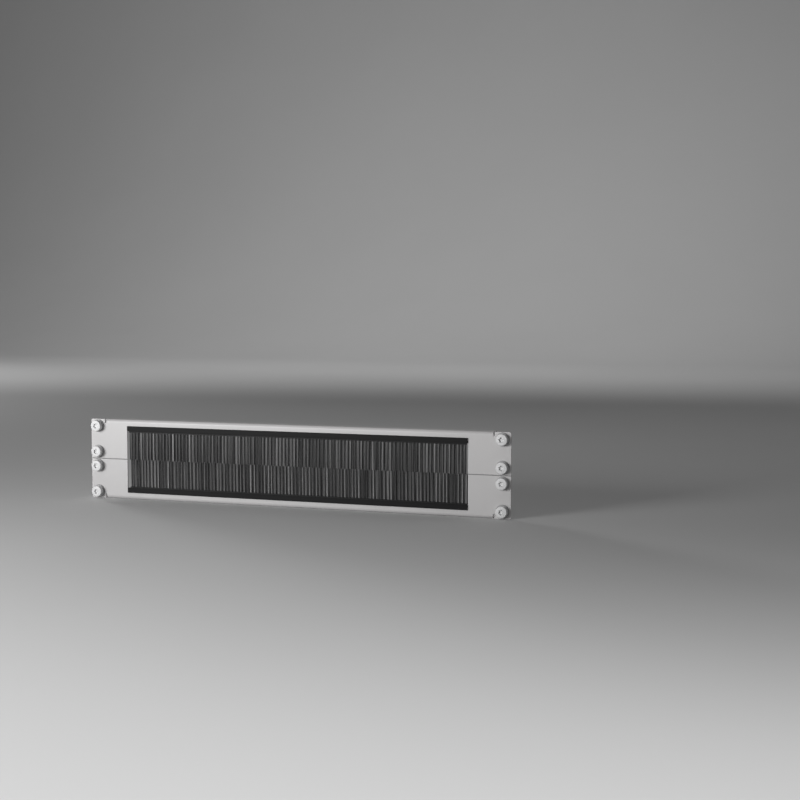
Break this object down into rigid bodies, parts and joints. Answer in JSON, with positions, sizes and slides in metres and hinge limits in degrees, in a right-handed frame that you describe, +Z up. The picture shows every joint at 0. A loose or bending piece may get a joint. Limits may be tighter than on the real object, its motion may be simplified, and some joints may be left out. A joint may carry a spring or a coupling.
{
  "type": "cable pass-through panel",
  "caption": "Split rack panel with facing strip brushes along a wide opening, so cables pass through a closed front; screws to the rails of a 19-inch rack.",
  "frame": {"origin": "middle of the rack screw pattern, on the plane where the plates lie against the rack's rails", "axes": "+X along the panel to the right as seen from the front, +Y from the front to the rear, +Z up"},
  "size_m": [0.4826, 0.0222, 0.0882],
  "materials": {
    "plate_paint": "satin light grey",
    "holder_plastic": "matt black",
    "channel_steel": "blackened",
    "wire_steel": "drawn",
    "bristle_nylon": "black nylon filament",
    "screw_zinc": "bright zinc",
    "washer_nylon": "grey nylon"
  },
  "bodies": {
    "panel": {"upper_plate": "plate_paint", "upper_brush_holder": "holder_plastic", "upper_brush_channel": "channel_steel", "upper_core_wire": "wire_steel", "upper_bristle_roots": "bristle_nylon", "upper_rack_screws": "screw_zinc", "upper_washers": "washer_nylon", "lower_plate": "plate_paint", "lower_brush_holder": "holder_plastic", "lower_brush_channel": "channel_steel", "lower_core_wire": "wire_steel", "lower_bristle_roots": "bristle_nylon", "lower_rack_screws": "screw_zinc", "lower_washers": "washer_nylon"},
    "upper_bristles_1": {"upper_bristles_1": "bristle_nylon"},
    "upper_bristles_2": {"upper_bristles_2": "bristle_nylon"},
    "upper_bristles_3": {"upper_bristles_3": "bristle_nylon"},
    "upper_bristles_4": {"upper_bristles_4": "bristle_nylon"},
    "upper_bristles_5": {"upper_bristles_5": "bristle_nylon"},
    "upper_bristles_6": {"upper_bristles_6": "bristle_nylon"},
    "upper_bristles_7": {"upper_bristles_7": "bristle_nylon"},
    "lower_bristles_1": {"lower_bristles_1": "bristle_nylon"},
    "lower_bristles_2": {"lower_bristles_2": "bristle_nylon"},
    "lower_bristles_3": {"lower_bristles_3": "bristle_nylon"},
    "lower_bristles_4": {"lower_bristles_4": "bristle_nylon"},
    "lower_bristles_5": {"lower_bristles_5": "bristle_nylon"},
    "lower_bristles_6": {"lower_bristles_6": "bristle_nylon"},
    "lower_bristles_7": {"lower_bristles_7": "bristle_nylon"}
  },
  "joints": [
    {"name": "upper_bristles_1_bend", "type": "hinge", "parent": "panel", "child": "upper_bristles_1", "pos_m": [-0.16555, -0.00075, 0.0293], "axis": [1, 0, 0], "range_deg": [-50, 50], "stiffness_Nm_per_rad": 0.0175, "deforming": ["upper_bristles_1"]},
    {"name": "upper_bristles_2_bend", "type": "hinge", "parent": "panel", "child": "upper_bristles_2", "pos_m": [-0.10955, -0.00075, 0.0293], "axis": [1, 0, 0], "range_deg": [-50, 50], "stiffness_Nm_per_rad": 0.0175, "deforming": ["upper_bristles_2"]},
    {"name": "upper_bristles_3_bend", "type": "hinge", "parent": "panel", "child": "upper_bristles_3", "pos_m": [-0.05355, -0.00075, 0.0293], "axis": [1, 0, 0], "range_deg": [-50, 50], "stiffness_Nm_per_rad": 0.0175, "deforming": ["upper_bristles_3"]},
    {"name": "upper_bristles_4_bend", "type": "hinge", "parent": "panel", "child": "upper_bristles_4", "pos_m": [0.00045, -0.00075, 0.0293], "axis": [1, 0, 0], "range_deg": [-50, 50], "stiffness_Nm_per_rad": 0.0175, "deforming": ["upper_bristles_4"]},
    {"name": "upper_bristles_5_bend", "type": "hinge", "parent": "panel", "child": "upper_bristles_5", "pos_m": [0.05445, -0.00075, 0.0293], "axis": [1, 0, 0], "range_deg": [-50, 50], "stiffness_Nm_per_rad": 0.0175, "deforming": ["upper_bristles_5"]},
    {"name": "upper_bristles_6_bend", "type": "hinge", "parent": "panel", "child": "upper_bristles_6", "pos_m": [0.11045, -0.00075, 0.0293], "axis": [1, 0, 0], "range_deg": [-50, 50], "stiffness_Nm_per_rad": 0.0175, "deforming": ["upper_bristles_6"]},
    {"name": "upper_bristles_7_bend", "type": "hinge", "parent": "panel", "child": "upper_bristles_7", "pos_m": [0.16645, -0.00075, 0.0293], "axis": [1, 0, 0], "range_deg": [-50, 50], "stiffness_Nm_per_rad": 0.0175, "deforming": ["upper_bristles_7"]},
    {"name": "lower_bristles_1_bend", "type": "hinge", "parent": "panel", "child": "lower_bristles_1", "pos_m": [-0.1641, -0.00075, -0.0293], "axis": [-1, 0, 0], "range_deg": [-50, 50], "stiffness_Nm_per_rad": 0.0175, "deforming": ["lower_bristles_1"]},
    {"name": "lower_bristles_2_bend", "type": "hinge", "parent": "panel", "child": "lower_bristles_2", "pos_m": [-0.1081, -0.00075, -0.0293], "axis": [-1, 0, 0], "range_deg": [-50, 50], "stiffness_Nm_per_rad": 0.0175, "deforming": ["lower_bristles_2"]},
    {"name": "lower_bristles_3_bend", "type": "hinge", "parent": "panel", "child": "lower_bristles_3", "pos_m": [-0.0521, -0.00075, -0.0293], "axis": [-1, 0, 0], "range_deg": [-50, 50], "stiffness_Nm_per_rad": 0.0175, "deforming": ["lower_bristles_3"]},
    {"name": "lower_bristles_4_bend", "type": "hinge", "parent": "panel", "child": "lower_bristles_4", "pos_m": [0.0019, -0.00075, -0.0293], "axis": [-1, 0, 0], "range_deg": [-50, 50], "stiffness_Nm_per_rad": 0.0175, "deforming": ["lower_bristles_4"]},
    {"name": "lower_bristles_5_bend", "type": "hinge", "parent": "panel", "child": "lower_bristles_5", "pos_m": [0.0559, -0.00075, -0.0293], "axis": [-1, 0, 0], "range_deg": [-50, 50], "stiffness_Nm_per_rad": 0.0175, "deforming": ["lower_bristles_5"]},
    {"name": "lower_bristles_6_bend", "type": "hinge", "parent": "panel", "child": "lower_bristles_6", "pos_m": [0.1119, -0.00075, -0.0293], "axis": [-1, 0, 0], "range_deg": [-50, 50], "stiffness_Nm_per_rad": 0.0175, "deforming": ["lower_bristles_6"]},
    {"name": "lower_bristles_7_bend", "type": "hinge", "parent": "panel", "child": "lower_bristles_7", "pos_m": [0.1679, -0.00075, -0.0293], "axis": [-1, 0, 0], "range_deg": [-50, 50], "stiffness_Nm_per_rad": 0.0175, "deforming": ["lower_bristles_7"]}
  ]
}
